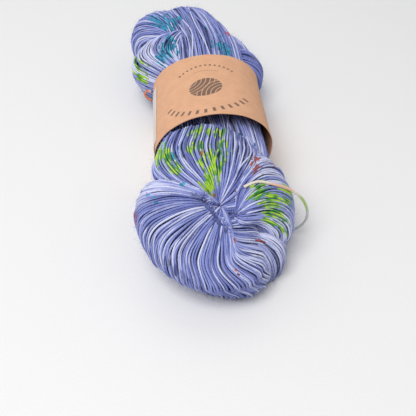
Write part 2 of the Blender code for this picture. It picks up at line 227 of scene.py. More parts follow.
# Places where the yarn took a dye, or is pale: (x, y, z, reach, share), the centre and reach in
# centimetres in the frame, and the share of the strands there that show it.
DYES = {
    "lime": [
        (-2.6, -5.8, 4.5, 0.6, 0.8),
        (-2.1, -6.6, 4.8, 0.65, 1.0),
        (-1.5, -7.5, 4.9, 0.5, 1.0),
        (-0.6, -5.2, 5.4, 0.5, 0.8),
        (-0.6, -6.6, 5.4, 0.45, 0.7),
        (0.0, -5.2, 5.5, 0.5, 0.8),
        (0.0, -6.4, 5.5, 0.55, 0.8),
        (0.2, -7.3, 5.3, 0.6, 0.9),
        (0.4, -8.1, 5.1, 0.6, 0.9),
        (0.3, -8.7, 4.9, 0.5, 0.9),
        (0.3, -9.1, 4.4, 0.4, 0.8),
        (1.1, -5.3, 5.3, 0.45, 0.8),
        (1.1, -6.2, 5.4, 0.5, 0.9),
        (1.0, -7.2, 5.3, 0.5, 0.9),
        (3.0, -9.5, 4.7, 0.6, 0.8),
        (3.5, -9.8, 4.4, 0.8, 0.95),
        (3.8, -10.3, 3.8, 0.6, 0.9),
        (4.3, -10.5, 3.0, 0.5, 0.8),
        (4.5, -8.9, 3.9, 0.7, 0.8),
        (3.0, -12.5, 1.9, 0.15, 0.8),
        (-4.3, 4.7, 3.6, 0.7, 0.6),
        (-4.3, 4.1, 2.7, 0.7, 0.6),
        (-2.7, 4.2, 4.8, 0.25, 0.6),
        (1.9, 5.6, 5.1, 0.25, 0.7),
        (-4.9, 9.0, 1.6, 0.7, 0.7),
        (2.2, 9.9, 1.6, 0.6, 0.7),
    ],
    "teal": [
        (-1.7, -6.4, 5.1, 0.35, 0.6),
        (0.8, -5.0, 5.0, 0.2, 0.8),
        (1.4, -5.6, 5.1, 0.2, 0.8),
        (0.3, -7.5, 5.3, 0.18, 0.8),
        (-2.8, -10.0, 5.1, 0.16, 0.9),
        (-1.2, -9.5, 5.4, 0.16, 0.9),
        (0.7, -12.8, 3.1, 0.14, 0.9),
        (2.2, -4.8, 4.9, 0.16, 0.8),
        (3.1, -5.1, 4.5, 0.16, 0.8),
        (3.2, -12.4, 1.4, 0.35, 0.5),
        (-2.8, 9.8, 4.8, 0.9, 0.9),
        (-2.2, 8.5, 5.0, 0.8, 0.9),
        (-1.5, 9.0, 5.2, 0.65, 0.9),
        (-2.4, 4.4, 4.8, 0.55, 1.0),
        (-2.3, 5.2, 5.0, 0.6, 1.0),
        (-2.2, 6.0, 5.0, 0.5, 1.0),
        (-1.5, 4.8, 5.0, 0.3, 0.6),
        (0.4, 7.2, 5.5, 0.25, 0.8),
        (1.4, 6.3, 5.3, 0.28, 0.8),
        (1.7, 4.8, 5.1, 0.75, 0.95),
        (-3.9, 3.9, 1.4, 0.5, 0.7),
        (-3.9, -9.0, 1.8, 0.6, 0.7),
        (3.6, 6.0, 1.2, 0.5, 0.6),
    ],
    "red": [
        (0.1, -6.9, 5.5, 0.26, 0.8),
        (0.4, -9.2, 4.4, 0.3, 0.6),
        (3.1, -6.9, 4.9, 0.36, 0.8),
        (3.0, -7.6, 5.0, 0.36, 0.8),
        (3.0, -8.3, 5.0, 0.3, 0.7),
        (3.8, -7.2, 4.4, 0.3, 0.4),
        (-4.0, -10.0, 3.7, 0.45, 0.8),
        (-4.0, -10.7, 3.6, 0.45, 0.8),
        (1.6, -11.8, 3.4, 0.16, 0.9),
        (3.0, -11.2, 2.7, 0.3, 0.6),
        (1.7, -13.2, 2.4, 0.18, 0.9),
        (1.2, -13.6, 1.6, 0.18, 0.6),
        (2.1, 7.2, 4.9, 0.22, 0.8),
        (-0.5, 13.2, 3.0, 0.4, 0.5),
    ],
    "pale": [
        (-2.6, -9.1, 5.3, 0.9, 0.8),
        (-3.4, -9.6, 4.7, 0.8, 0.7),
        (-1.3, -9.0, 5.3, 0.7, 0.6),
        (-0.8, -11.6, 4.1, 1.5, 0.3),
        (2.0, -10.9, 3.6, 0.4, 0.4),
        (2.7, -12.0, 2.5, 0.5, 0.35),
        (3.3, -12.6, 1.2, 0.5, 0.35),
        (3.4, -7.4, 4.8, 1.3, 1.0),
        (-3.4, 4.9, 4.2, 1.8, 1.0),
        (-3.2, 6.2, 4.4, 0.9, 0.5),
        (3.9, -11.0, 2.0, 1.4, 1.0),
        (4.2, -10.3, 3.0, 1.0, 0.9),
        (3.4, -4.9, 4.3, 0.7, 0.5),
        (-3.0, -5.4, 3.6, 1.0, 0.6),
        (1.9, -5.9, 4.9, 0.8, 0.3),
    ],
}
SPECK_SHARE = 0.14

# Colours, as linear red, green and blue.
DEEP_BLUE = (0.130, 0.160, 0.490)
MID_BLUE = (0.262, 0.315, 0.710)
PALE_BLUE = (0.70, 0.73, 0.95)
# The next two colours are painted light: a highlight on the strands' fibres, and shade on yarn near
# the table and on the inner layer.
FIBRE_HIGHLIGHT_BLUE = (0.80, 0.83, 0.95)
SHADED_BLUE = (0.042, 0.054, 0.180)
TEAL_SPECK = (0.004, 0.230, 0.420)
RED_SPECK = (0.420, 0.045, 0.030)
INK = (0.085, 0.065, 0.060)

Dye = namedtuple("Dye", "starts full dark bright")
Dye.__doc__ = "A dye: the amounts where it starts to show and shows fully, and its two tones."
DYE_TONES = {
    "lime": Dye(0.30, 0.62, (0.014, 0.280, 0.006), (0.460, 0.740, 0.002)),
    "teal": Dye(0.32, 0.52, (0.001, 0.110, 0.270), (0.003, 0.390, 0.600)),
    "red": Dye(0.36, 0.56, (0.180, 0.014, 0.010), (0.640, 0.070, 0.030)),
}

# The belly band and its sticker, in centimetres and degrees.
PAPER = 0.04
PAPER_LAYER_GAP = 0.005
SEAM_START = -75
SEAM_OVERLAP = 25
SEAM_RAMP = 16
BAND_STEPS = 260
BAND_COLUMNS = 27
FREE_FROM_SEAM = (40, 90)
CURL = 0.035
RIPPLE = 0.012
STICKER_LENGTH = 5.8
STICKER_FROM = 150
STICKER_TO = 204
STICKER_LIFT = 0.03
STICKER_THICKNESS = 0.02

# The printed ornament's middle and its ball's radius on the band, in centimetres from the top
# line and along the band, and its arcs of stitches as (ring, half width, stitches in a full
# turn, share of ink, first and last angle).
ORNAMENT = (0.42, -0.45)
BALL = 1.08
ARCS = [
    (2.75, 0.11, 54, 0.50, 48, 132),
    (2.80, 0.25, 34, 0.40, -155, -25),
    (2.05, 0.035, 90, 0.60, 66, 114),
]

# The loose strand and the tie: routes in centimetres, thicknesses in metres.
STRAND_DIAMETER = 0.0016
STRAND_ROUTE = [
    (1.55, -9.02, 4.98),
    (2.35, -8.76, 5.11),
    (3.30, -8.72, 4.83),
    (4.18, -8.60, 4.32),
    (4.92, -8.52, 3.55),
    (5.33, -8.45, 2.65),
    (5.45, -8.30, 1.75),
    (5.28, -8.12, 0.95),
    (4.90, -8.02, 0.42),
    (4.50, -7.95, 0.22),
]
TIE_ROUTE = [
    (-4.10, 3.85, 2.44),
    (-4.36, 3.90, 2.48),
    (-4.57, 3.91, 2.20),
    (-4.40, 3.87, 1.88),
    (-4.10, 3.83, 1.70),
]
PLY_RADIUS = 0.52 * MM
PLY_FROM_MIDDLE = 0.46 * MM
PLY_TWIST_LENGTH = 3.2 * MM

# The halo of single fibres: sizes in metres, the tilt in radians.
FUZZ_FIBRES = 10500
FUZZ_RADIUS = 0.035 * MM
FUZZ_TAPER = np.array([1.0, 0.95, 0.85, 0.65, 0.35])
SHORTEST_FUZZ = 1.5 * MM
LONGEST_FUZZ = 5.5 * MM
FUZZ_TILT = 1.1
FUZZ_BEND = 0.45
FUZZ_KINK = 0.12
LEAST_OFF_CORE = 0.3 * MM

# The camera and the table: places in metres, lens and sensor in millimetres, angles in degrees.
CAMERA_PLACE = (-0.0048, -0.3409, 0.282)
CAMERA_TILT = 45
CAMERA_TURN = -1.6
LENS = 54.1
SENSOR = 36
TABLE_HALF = 3
TABLE_DROP = 0.0003


# ---------------- camera, light and floor


def in_scene(name, data):
    """A new object of this data, in the scene."""
    obj = bpy.data.objects.new(name, data)
    bpy.context.scene.collection.objects.link(obj)
    return obj


def add_camera():
    """The camera, looking down at 45 degrees from the near end, a little from the left."""
    data = bpy.data.cameras.new("camera")
    data.sensor_width = SENSOR
    data.lens = LENS
    data.clip_start = 0.01
    camera = in_scene("camera", data)
    camera.location = CAMERA_PLACE
    camera.rotation_euler = (math.radians(CAMERA_TILT), 0, math.radians(CAMERA_TURN))
    bpy.context.scene.camera = camera


def add_light(name, place, size, power, colour):
    """A square area light that points at the hank."""
    data = bpy.data.lights.new(name, "AREA")
    data.size = size
    data.energy = power
    data.color = colour
    light = in_scene(name, data)
    light.location = place
    direction = -light.location
    light.rotation_euler = direction.to_track_quat("-Z", "Y").to_euler()


def add_studio():
    """A white table under an even sky, a soft light in front on the left and a weak one behind."""
    world = bpy.data.worlds.new("studio")
    bpy.context.scene.world = world
    world.use_nodes = True
    background = world.node_tree.nodes["Background"]
    background.inputs["Color"].default_value = (0.98, 0.99, 1.0, 1)
    background.inputs["Strength"].default_value = 0.45
    add_light("key", (-0.35, -0.55, 1.20), 0.8, 12.0, (1.0, 0.985, 0.965))
    add_light("back", (-0.3, 0.9, 0.9), 0.9, 2.0, (0.97, 0.98, 1.0))
    bpy.context.scene.view_settings.view_transform = "Standard"
    bm = bmesh.new()
    bmesh.ops.create_grid(bm, x_segments=8, y_segments=8, size=TABLE_HALF)
    floor = object_from(bm, "floor")
    floor.location.z = -TABLE_DROP
    graph = Graph("table", floor)
    grain = graph.noise(graph.place(), 900, 2)
    share = graph.ramp(grain, 0.3, 0.7)
    graph.colour(graph.mix(share, (0.855, 0.855, 0.862), (0.875, 0.875, 0.880)))
    graph.set("Roughness", 0.62)
    graph.bump(grain, 0.04, 0.0002)


# ---------------- material nodes


class Graph:
    """Short calls for the nodes of one object's material."""

    def __init__(self, name, *objects):
        self.material = bpy.data.materials.new(name)
        self.material.use_nodes = True
        self.tree = self.material.node_tree
        self.shader = self.tree.nodes["Principled BSDF"]
        for obj in objects:
            obj.data.materials.append(self.material)

    def node(self, kind, inputs, output=0, **settings):
        """A node with its inputs linked or set, in order or by name; gives one output."""
        node = self.tree.nodes.new(kind)
        for key, value in settings.items():
            setattr(node, key, value)
        for key, value in inputs.items():
            if isinstance(value, bpy.types.NodeSocket):
                self.tree.links.new(value, node.inputs[key])
            elif isinstance(value, tuple) and len(value) == 3 and node.inputs[key].type == "RGBA":
                node.inputs[key].default_value = (*value, 1)
            else:
                node.inputs[key].default_value = value
        return node.outputs[output]

    def set(self, name, value):
        """Sets or links one of the shader's own inputs."""
        if isinstance(value, bpy.types.NodeSocket):
            self.tree.links.new(value, self.shader.inputs[name])
        else:
            self.shader.inputs[name].default_value = value

    def colour(self, value):
        self.set("Base Color", value)

    def math(self, operation, first, second=0.0):
        return self.node("ShaderNodeMath", {0: first, 1: second}, operation=operation)

    def plus(self, first, second):
        return self.math("ADD", first, second)

    def minus(self, first, second):
        return self.math("SUBTRACT", first, second)

    def times(self, first, second):
        return self.math("MULTIPLY", first, second)

    def apart(self, first, second):
        """How far one value is from another, either way."""
        return self.math("ABSOLUTE", self.minus(first, second))

    def distance(self, x, y):
        """The length of the line from 0, 0 to x, y."""
        return self.math("SQRT", self.plus(self.math("POWER", x, 2.0), self.math("POWER", y, 2.0)))

    def ramp(self, value, low, high):
        """0 below low, 1 above high and smooth between."""
        inputs = {"Value": value, "From Min": low, "From Max": high}
        return self.node("ShaderNodeMapRange", inputs, interpolation_type="SMOOTHSTEP")

    def mix(self, share, first, second):
        """One colour mixed into another."""
        inputs = {0: share, 6: first, 7: second}
        return self.node("ShaderNodeMix", inputs, output=2, data_type="RGBA")

    def fade(self, value, low, high, first, second):
        """One colour below low, another above high and a smooth change between."""
        return self.mix(self.ramp(value, low, high), first, second)

    def attribute(self, name, output="Fac"):
        return self.node("ShaderNodeAttribute", {}, output=output, attribute_name=name)

    def vector(self, x, y, z=0.0):
        return self.node("ShaderNodeCombineXYZ", {0: x, 1: y, 2: z})

    def axis(self, vector, index):
        return self.node("ShaderNodeSeparateXYZ", {0: vector}, output=index)

    def place(self):
        return self.node("ShaderNodeTexCoord", {}, output="Object")

    def noise(self, vector, scale, detail=2.0):
        inputs = {"Vector": vector, "Scale": scale, "Detail": detail}
        return self.node("ShaderNodeTexNoise", inputs, output="Fac")

    def bump(self, height, strength, distance):
        inputs = {"Height": height, "Strength": strength, "Distance": distance}
        self.set("Normal", self.node("ShaderNodeBump", inputs))


# ---------------- shape helpers


def object_from(bm, name):
    """A smooth-shaded object made of bm's mesh."""
    mesh = bpy.data.meshes.new(name)
    bm.to_mesh(mesh)
    bm.free()
    mesh.shade_smooth()
    return in_scene(name, mesh)


def smooth_rows(rows, steps):
    """Rows read from a smooth curve through the given rows, steps to each span."""
    rows = np.array(rows, float)
    last = len(rows) - 1
    places = np.linspace(0, last, last * steps + 1)
    index = np.minimum(places.astype(int), last - 1)
    t = (places - index)[:, None]
    a, b = rows[np.maximum(index - 1, 0)], rows[index]
    c, d = rows[index + 1], rows[np.minimum(index + 2, last)]
    square, cube = 2 * a - 5 * b + 4 * c - d, 3 * b - a - 3 * c + d
    return 0.5 * (2 * b + (c - a) * t + square * t**2 + cube * t**3)


def unit(vectors):
    return vectors / np.maximum(np.linalg.norm(vectors, axis=-1, keepdims=True), 1e-9)


def smoothstep(low, high, values):
    t = np.clip((values - low) / (high - low), 0, 1)
    return t * t * (3 - 2 * t)


def in_frame(points):
    """Points in metres in the frame, from centimetres about the band's middle."""
    return (points - np.array([*MIDDLE, 0])) * CM


def band_oval(y):
    """(centre x and z, half width, half height, roll) of the band's oval at y, in cm and radians."""
    share = np.clip((y - NEAR_EDGE.y) / (FAR_EDGE.y - NEAR_EDGE.y), 0, 1)
    near, far = (np.array([edge.x, *edge[2:]]) for edge in (NEAR_EDGE, FAR_EDGE))
    values = np.moveaxis(near + (far - near) * np.asarray(share)[..., None], -1, 0)
    return (*values[:4], np.radians(values[4]))


def pulled_in(points):
    """The points with what would stand outside the band drawn in, as the band holds the yarn."""
    x, y, z = points[..., 0], points[..., 1], points[..., 2]
    middle, height, half_width, half_height, roll = band_oval(y)
    x, z = x - middle, z - height
    along = x * np.cos(roll) + z * np.sin(roll)
    across = -x * np.sin(roll) + z * np.cos(roll)
    reach = np.hypot(along / half_width, across / half_height)
    beyond = np.maximum(np.maximum(NEAR_EDGE.y - y, y - FAR_EDGE.y) - SWELL_STARTS, 0)
    limit = WAIST_FILL + SWELL_AT_EDGE * np.sqrt(beyond) + SWELL_PER_CM * beyond
    knee = limit - WAIST_SOFTNESS
    over = np.maximum(reach - knee, 0)
    held = np.where(over > 0, limit - WAIST_SOFTNESS * np.exp(-over / WAIST_SOFTNESS), reach)
    scale = held / np.maximum(reach, 1e-6)
    return np.stack([middle + x * scale, y, height + z * scale], -1)


Lobe = namedtuple("Lobe", "centre side rise half_width half_height along")
Lobe.__doc__ = """A lobe's rings: centres, the two directions of each oval, its half sizes, and the
way along the lobe."""


def lobe_of(sections, steps):
    """The rings of a lobe, read smoothly from its sections."""
    rows = smooth_rows([Section(*row) for row in sections], steps)
    turn, dive, roll = np.radians(rows[:, 5:8]).T
    flat = np.zeros_like(turn)
    level = np.cos(dive)
    heading = np.stack([np.sin(turn) * level, -np.cos(turn) * level, -np.sin(dive)], 1)
    side = np.stack([np.cos(turn), np.sin(turn), flat], 1)
    rise = np.cross(heading, side)
    cos, sin = np.cos(roll)[:, None], np.sin(roll)[:, None]
    side, rise = side * cos + rise * sin, rise * cos - side * sin
    centre = rows[:, :3]
    spans = np.linalg.norm(np.diff(centre, axis=0), axis=1) + np.abs(np.diff(rows[:, 3]))
    along = np.concatenate([[0], np.cumsum(spans)])
    return Lobe(centre, side, rise, rows[:, 3], rows[:, 4], along)


def on_lobe(lobe, angle, inset):
    """Points on a lobe at angles round each of its rings, set in by inset, and the ways out there."""

    def surface(angle):
        across = lobe.side * (lobe.half_width * np.cos(angle))[..., None]
        up = lobe.rise * (lobe.half_height * np.sin(angle))[..., None]
        return pulled_in(lobe.centre + across + up)

    points = surface(angle)
    outward = unit(np.cross(surface(angle + 0.01) - points, np.gradient(points, axis=-2)))
    return points - outward * np.asarray(inset)[..., None], outward


# ---------------- tubes


Tube = namedtuple("Tube", "points outward radii along strand dye depth", defaults=(0,))
Tube.__doc__ = """One stretch of a strand: its points, the ways out of the hank and radii there in
metres, the distance along the strand, the strand's own random number, its dyes there, and which
layer it lies in, from 0 outside."""


def tube_mesh(name, tubes, sides):
    """One object of closed tubes, with what their material reads stored on the vertices."""
    places, fibres, alongs, strands, dyes, depths, faces = ([] for _ in range(7))
    angle = np.arange(sides) * TAU / sides
    cos, sin = np.cos(angle)[None, :, None], np.sin(angle)[None, :, None]
    first = 0
    for tube in tubes:
        count = len(tube.points)
        way = unit(np.gradient(tube.points, axis=0))
        out = unit(tube.outward - way * (tube.outward * way).sum(1, keepdims=True))
        ring = out[:, None] * cos + np.cross(way, out)[:, None] * sin
        places.append((tube.points[:, None] + ring * tube.radii[:, None, None]).reshape(-1, 3))
        twisted = angle[None] + (tube.along / TWIST_LENGTH * TAU)[:, None]
        down = np.broadcast_to((tube.along / FIBRE_STRETCH)[:, None], twisted.shape)
        radius = tube.radii[:, None]
        fibre = np.stack([np.cos(twisted) * radius, np.sin(twisted) * radius, down], -1)
        fibres.append(fibre.reshape(-1, 3))
        alongs.append(np.repeat(tube.along, sides))
        strands.append(np.full(count * sides, tube.strand))
        dyes.append(np.repeat(tube.dye, sides, axis=0))
        depths.append(np.full(count * sides, float(tube.depth)))
        grid = first + np.arange(count * sides).reshape(count, sides)
        here, there = grid[:-1], grid[1:]
        quads = np.stack([here, np.roll(here, -1, 1), np.roll(there, -1, 1), there], -1)
        faces.extend(quads.reshape(-1, 4).tolist())
        faces.append(grid[0][::-1].tolist())
        faces.append(grid[-1].tolist())
        first += count * sides
    mesh = bpy.data.meshes.new(name)
    mesh.from_pydata(np.concatenate(places).tolist(), [], faces)
    store(mesh, "fibre", "FLOAT_VECTOR", "vector", np.concatenate(fibres))
    store(mesh, "along", "FLOAT", "value", np.concatenate(alongs))
    store(mesh, "strand", "FLOAT", "value", np.concatenate(strands))
    store(mesh, "dye", "FLOAT_COLOR", "color", np.concatenate(dyes))
    store(mesh, "depth", "FLOAT", "value", np.concatenate(depths))
    mesh.shade_smooth()
    return in_scene(name, mesh)


def store(mesh, name, kind, field, values):
    """Stores one value for each vertex under a name that materials read."""
    mesh.attributes.new(name, kind, "POINT").data.foreach_set(field, np.ravel(values))


def place_piece(obj, node):
    """Says what the piece moves with, what it stands for and which finish it has."""
    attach(obj, "root")
    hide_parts(node)
    return obj


# ---------------- the hank's strands


def waves(rng, count, places, reach):
    """count smooth random curves over places, about reach long, mostly between -1 and 1."""
    lengths = reach * rng.uniform(0.7, 2.0, (3, count, 1))
    phases = rng.uniform(0, TAU, (3, count, 1))
    return np.sin(TAU * places / lengths + phases).sum(0) / 2


def swaying(rng, around, along, reach):
    """A smooth random field round and along a lobe, mostly between -1 and 1."""
    total = np.zeros(np.broadcast(around, along).shape)
    for turns in (1, 2, 3, 4, 6):
        phase = rng.uniform(0, TAU)
        length = reach * rng.uniform(0.8, 1.6)
        slant = rng.choice((-1, 1))
        total += np.sin(TAU * (turns * around + slant * along / length) + phase)
    return total / 2.5


def even_angles(lobe):
    """A function from the share of the way round the lobe's widest oval to the angle there."""
    widest = np.argmax(lobe.half_width + lobe.half_height)
    angles = np.linspace(0, TAU, 361)
    a, b = lobe.half_width[widest], lobe.half_height[widest]
    step = np.hypot(a * np.sin(angles), b * np.cos(angles))
    shares = np.concatenate([[0], np.cumsum((step[1:] + step[:-1]) / 2)])
    shares /= shares[-1]
    return lambda share: np.interp(share % 1, shares, angles)


def girth(lobe):
    """The distance round each of the lobe's ovals, in centimetres."""
    a, b = lobe.half_width, lobe.half_height
    return math.pi * (3 * (a + b) - np.sqrt((3 * a + b) * (a + 3 * b)))


def spread_ranks(count):
    """Ranks from 0 to 1 for strands side by side, such that the lowest ranks are evenly spread.
    There are at most 256 strands."""
    return np.array([int(f"{i:08b}"[::-1], 2) / 256 for i in range(count)])


def lay_strands(lobe, lay, rng):
    """Centre lines of one layer of a lobe's strands, with the ways out and the radii, in cm."""
    around = girth(lobe)
    count = int(around.max() / STRAND_PITCH)
    starts = np.arange(count)[:, None] + rng.uniform(-START_SPREAD, START_SPREAD, (count, 1))
    own = starts / count
    over = (rng.random((count, 1)) < lay.crossing).astype(float)
    along = lobe.along[None]
    stray = waves(rng, count, along, WANDER_REACH)
    stray = stray + CROSSING.size * over * waves(rng, count, along, CROSSING.reach)
    together = lay.sway * swaying(rng, own, along, SWAY_REACH)
    angle = even_angles(lobe)(own + (lay.wander * stray + together) / count)
    # Where the lobe narrows, the strands that find no room sink below their neighbours.
    crowd = count * STRAND_PITCH / np.maximum(around, 0.1)[None]
    buried = np.clip(spread_ranks(count)[:, None] * crowd - 1, 0, 4)
    sink = (np.minimum(buried / 0.3, 1) * 1.7 + buried * 0.5) * STRAND_RADIUS
    thickness = rng.uniform(THINNEST, THICKEST, (count, 1))
    thickness = thickness + UNEVENNESS.size * waves(rng, count, along, UNEVENNESS.reach)
    radii = STRAND_RADIUS * thickness
    lift = OWN_LIFT.size * waves(rng, count, along, OWN_LIFT.reach)
    lift = lift + SHARED_LIFT.size * swaying(rng, own, along, SHARED_LIFT.reach)
    covered = 3.0 * lay.depth * np.clip(crowd - 1.05, 0, 1)
    inset = radii + sink + lay.depth + covered - lift - over * CROSSING_LIFT
    points, outward = on_lobe(lobe, angle, inset)
    return points, outward, radii


def depth_in(tree, point):
    """How far a point in the frame is inside the core, in metres, below 0 outside it."""
    place, normal, _, distance = tree.find_nearest(point)
    inside = sum((a - b) * c for a, b, c in zip(place, point, normal)) > 0
    return distance if inside else -distance


def runs(shown, least):
    """The stretches of True in shown that are at least so many long, as (start, stop)."""
    edges = np.flatnonzero(np.diff(np.concatenate([[0], shown.astype(int), [0]])))
    return [(a, b) for a, b in zip(edges[::2], edges[1::2]) if b - a >= least]


def dyed(points, rng):
    """How much of each dye each point of each strand took: strands x points x dyes."""
    count = points.shape[0]
    amounts = []
    for spots in DYES.values():
        total = np.zeros(points.shape[:2])
        for *middle, reach, share in spots:
            takes = (rng.random((count, 1)) < share) * rng.uniform(0.75, 1.15, (count, 1))
            centre = np.array(middle) + rng.normal(0, reach * 0.3, (count, 1, 3))
            near = ((points / CM - centre) ** 2).sum(-1) / reach**2
            total = np.maximum(total, takes * np.exp(-near))
        amounts.append(total)
    return np.stack(amounts, -1)


def hank_strands(sections, tree, seed):
    """The tubes of one lobe's strands: what shows of an outer and an inner layer."""
    lobe = lobe_of(sections, RINGS_PER_SPAN)
    tubes = []
    for order, lay in enumerate((OUTER_LAY, INNER_LAY)):
        rng = np.random.default_rng((seed, order))
        points, outward, radii = lay_strands(lobe, lay, rng)
        low = points[..., 2] < LOWEST_SHOWN
        points[..., 2] = np.maximum(points[..., 2], radii)
        facing = (outward * unit(points - lobe.centre.mean(0))).sum(-1) > LEAST_FACING
        points = in_frame(points)
        radii = radii * CM
        dye = dyed(points, rng)
        steps = np.linalg.norm(np.diff(points, axis=1), axis=2)
        along = np.concatenate([np.zeros((len(points), 1)), np.cumsum(steps, axis=1)], 1)
        for i, strand in enumerate(rng.random(len(points))):
            depth = np.array([depth_in(tree, point) for point in points[i].tolist()])
            seen = facing[i] & ~low[i]
            shown = (depth < DEEPEST_SHOWN * CM) & seen
            shown[1:-1] |= (shown[:-2] | shown[2:]) & seen[1:-1]
            for a, b in runs(shown, LEAST_RUN):
                shape = points[i, a:b], outward[i, a:b], radii[i, a:b], along[i, a:b]
                tubes.append(Tube(*shape, strand, dye[i, a:b], order))
    return tubes


def fuzz(tubes, tree):
    """Fine fibres that stand out of the outer strands."""
    rng = np.random.default_rng(77)
    weights = np.array([len(tube.points) for tube in tubes], float)
    picks = rng.choice(len(tubes), FUZZ_FIBRES, p=weights / weights.sum())
    fibres = []
    for pick in picks:
        tube = tubes[pick]
        i = rng.integers(1, len(tube.points) - 1)
        if depth_in(tree, tube.points[i].tolist()) > -LEAST_OFF_CORE:
            continue
        way = unit(tube.points[i + 1] - tube.points[i - 1])
        out = tube.outward[i]
        tilt = rng.uniform(-FUZZ_TILT, FUZZ_TILT)
        start_way = out * math.cos(tilt) + np.cross(way, out) * math.sin(tilt)
        length = rng.uniform(SHORTEST_FUZZ, LONGEST_FUZZ)
        heading = unit(start_way * rng.uniform(0.3, 1.0) + way * rng.uniform(-1.0, 1.0))
        bend = rng.normal(0, FUZZ_BEND, 3)
        points = [tube.points[i] + start_way * tube.radii[i] * 0.85]
        steps = len(FUZZ_TAPER) - 1
        for _ in range(steps):
            points.append(points[-1] + heading * length / steps)
            heading = unit(heading + bend * 0.5 + rng.normal(0, FUZZ_KINK, 3))
        points = np.array(points)
        points[:, 2] = np.maximum(points[:, 2], FUZZ_RADIUS)
        side = np.cross(heading, (0.31, 0.52, 0.79))
        sides = np.repeat(side[None], len(points), axis=0)
        along = tube.along[i] + np.linspace(0, length, len(points))
        dye = np.repeat(tube.dye[i][None], len(points), axis=0)
        fibres.append(Tube(points, sides, FUZZ_RADIUS * FUZZ_TAPER, along, tube.strand, dye))
    return fibres


def build_core():
    """The dark mass of yarn under the strands that show."""
    bm = bmesh.new()
    for name, sections in LOBES.items():
        lobe = lobe_of(sections[CORE_STARTS.get(name, 0) :], CORE_RINGS_PER_SPAN)
        columns = [
            on_lobe(lobe, np.full(len(lobe.centre), angle), CORE_INSET)[0]
            for angle in np.linspace(0, TAU, CORE_SIDES, endpoint=False)
        ]
        points = in_frame(np.stack(columns, 1))
        rings = [[bm.verts.new(point) for point in ring] for ring in points]
        for lower, upper in zip(rings, rings[1:]):
            for i in range(CORE_SIDES):
                j = (i + 1) % CORE_SIDES
                bm.faces.new((lower[i], lower[j], upper[j], upper[i]))
        bm.faces.new(rings[0][::-1])
        bm.faces.new(rings[-1])
    bmesh.ops.recalc_face_normals(bm, faces=bm.faces)
    rough = object_from(bm, "rough_core")
    remesh = rough.modifiers.new("merge", "REMESH")
    remesh.mode = "VOXEL"
    remesh.voxel_size = CORE_VOXEL
    graph = bpy.context.evaluated_depsgraph_get()
    bm = bmesh.new()
    bm.from_object(rough, graph)
    bpy.data.objects.remove(rough, do_unlink=True)
    everything = bm.verts[:] + bm.edges[:] + bm.faces[:]
    floor = {"plane_co": (0, 0, CORE_FLOOR), "plane_no": (0, 0, -1)}
    bmesh.ops.bisect_plane(bm, geom=everything, clear_outer=True, **floor)
    bmesh.ops.holes_fill(bm, edges=[edge for edge in bm.edges if edge.is_boundary])
    bmesh.ops.recalc_face_normals(bm, faces=bm.faces)
    return place_piece(object_from(bm, "yarn_core"), "hank")


def build_hank():
    """Every strand of the hank, the mass under them and their fuzz."""
    core = build_core()
    corners = [vertex.co for vertex in core.data.vertices]
    tree = BVHTree.FromPolygons(corners, [tuple(face.vertices) for face in core.data.polygons])
    pieces, everything = [], []
    for seed, (name, sections) in enumerate(LOBES.items()):
        tubes = hank_strands(sections, tree, seed)
        pieces.append(place_piece(tube_mesh("yarn_" + name, tubes, STRAND_SIDES), "hank"))
        everything += tubes
    halo = place_piece(tube_mesh("yarn_fuzz", fuzz(everything, tree), 3), "hank")
    yarn_material("yarn", *pieces, halo)
    core_material(core)


# ---------------- band and sticker


def band_surface(angle, share, lift):
    """Points on the band's oval, lifted off it, at angles in degrees and shares of its length."""
    y = NEAR_EDGE.y + (FAR_EDGE.y - NEAR_EDGE.y) * share
    middle, height, half_width, half_height, roll = band_oval(y)
    a = np.radians(angle)
    along = (half_width + lift) * np.cos(a)
    across = (half_height + lift) * np.sin(a)
    x = along * np.cos(roll) - across * np.sin(roll)
    z = along * np.sin(roll) + across * np.cos(roll)
    return in_frame(np.stack([x + middle, y + 0 * x, z + height], -1))


def paper_sheet(name, angles, shares, lift, thickness):
    """A closed sheet of paper on the band's oval; its label attribute is the place on it, in cm."""
    angle, share = np.meshgrid(angles, shares, indexing="ij")
    outer = band_surface(angle, share, lift + thickness)
    inner = band_surface(angle, share, lift)
    steps = np.linalg.norm(np.diff(outer[:, len(shares) // 2], axis=0), axis=1) / CM
    around = np.concatenate([[0], np.cumsum(steps)])
    around -= np.interp(90, angles, around)
    across = np.broadcast_to(-around[:, None], angle.shape)
    down = (share - 0.5) * (FAR_EDGE.y - NEAR_EDGE.y)
    label = np.stack([across, down, 0 * down], -1)
    count = angle.size
    grid = np.arange(count).reshape(angle.shape)
    faces = []
    for sheet, order in ((grid, 1), (grid + count, -1)):
        quads = np.stack([sheet[:-1, :-1], sheet[:-1, 1:], sheet[1:, 1:], sheet[1:, :-1]], -1)
        faces += quads.reshape(-1, 4)[:, ::order].tolist()
    border = [*grid[:, 0], *grid[-1, 1:], *grid[-2::-1, -1], *grid[0, -2:0:-1]]
    for a, b in zip(border, border[1:] + border[:1]):
        faces.append([int(a), int(b), int(b) + count, int(a) + count])
    mesh = bpy.data.meshes.new(name)
    mesh.from_pydata(np.concatenate([outer, inner]).reshape(-1, 3).tolist(), [], faces)
    store(mesh, "label", "FLOAT_VECTOR", "vector", np.concatenate([label, label]))
    bm = bmesh.new()
    bm.from_mesh(mesh)
    bmesh.ops.recalc_face_normals(bm, faces=bm.faces)
    bm.to_mesh(mesh)
    bm.free()
    mesh.shade_smooth()
    mesh.set_sharp_from_angle(angle=math.radians(50))
    return in_scene(name, mesh)


